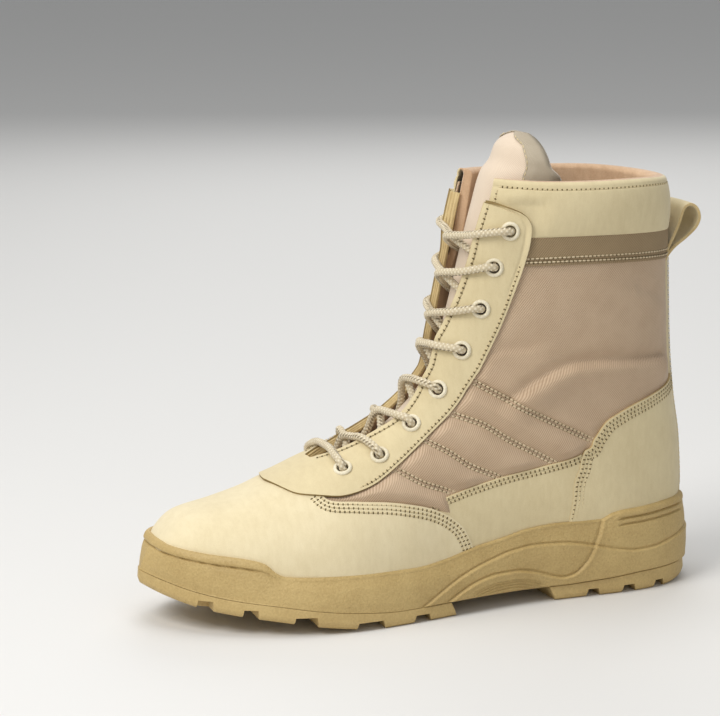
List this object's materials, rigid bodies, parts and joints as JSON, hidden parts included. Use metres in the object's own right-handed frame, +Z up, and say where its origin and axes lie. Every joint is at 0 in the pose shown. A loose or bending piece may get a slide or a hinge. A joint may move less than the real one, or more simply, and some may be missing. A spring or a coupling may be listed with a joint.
{
  "type": "combat boot",
  "caption": "Laced eight-inch desert combat boot in suede and woven nylon, with a side zip, padded collar, pull loop and lugged rubber sole.",
  "frame": {"origin": "on the floor under the middle of the heel", "axes": "+X towards the toe, +Y towards the outer side of the left foot, +Z up"},
  "size_m": [0.312, 0.1076, 0.2465],
  "materials": {
    "suede": "matt nap with a soft sheen",
    "sole_rubber": "finely stippled, matt",
    "tread_rubber": "smooth, satin",
    "insole_foam": "matt knit",
    "tongue_nylon": "matt woven nylon",
    "zip_tape": "matt woven tape",
    "zip_metal": "dull bronze tone",
    "eyelet_paint": "satin cream paint",
    "lace_cord": "matt round braid with darker flecks"
  },
  "bodies": {
    "boot": {"upper": "suede", "midsole": "sole_rubber", "forefoot_tread": "tread_rubber", "heel_tread": "tread_rubber", "insole": "insole_foam", "tongue": "tongue_nylon", "pull_loop": "suede", "zip": "zip_tape", "zip_strap": "suede", "zip_slider": "zip_metal", "eyelet_outer_1": "eyelet_paint", "eyelet_inner_1": "eyelet_paint", "eyelet_outer_2": "eyelet_paint", "eyelet_inner_2": "eyelet_paint", "eyelet_outer_3": "eyelet_paint", "eyelet_inner_3": "eyelet_paint", "eyelet_outer_4": "eyelet_paint", "eyelet_inner_4": "eyelet_paint", "eyelet_outer_5": "eyelet_paint", "eyelet_inner_5": "eyelet_paint", "eyelet_outer_6": "eyelet_paint", "eyelet_inner_6": "eyelet_paint", "eyelet_outer_7": "eyelet_paint", "eyelet_inner_7": "eyelet_paint", "eyelet_outer_8": "eyelet_paint", "eyelet_inner_8": "eyelet_paint", "lace_bar": "lace_cord", "lace_crossing_2": "lace_cord", "lace_crossing_3": "lace_cord", "lace_crossing_4": "lace_cord", "lace_crossing_5": "lace_cord", "lace_crossing_6": "lace_cord", "lace_crossing_7": "lace_cord", "lace_crossing_8": "lace_cord"},
    "zip_tab": {"zip_pull": "zip_metal"}
  },
  "joints": [
    {"name": "zip_tab_hinge", "type": "hinge", "parent": "boot", "child": "zip_tab", "pos_m": [0.05592, -0.04203, 0.179], "axis": [-0.9621, -0.155, -0.2242], "range_deg": [0, 100]}
  ]
}
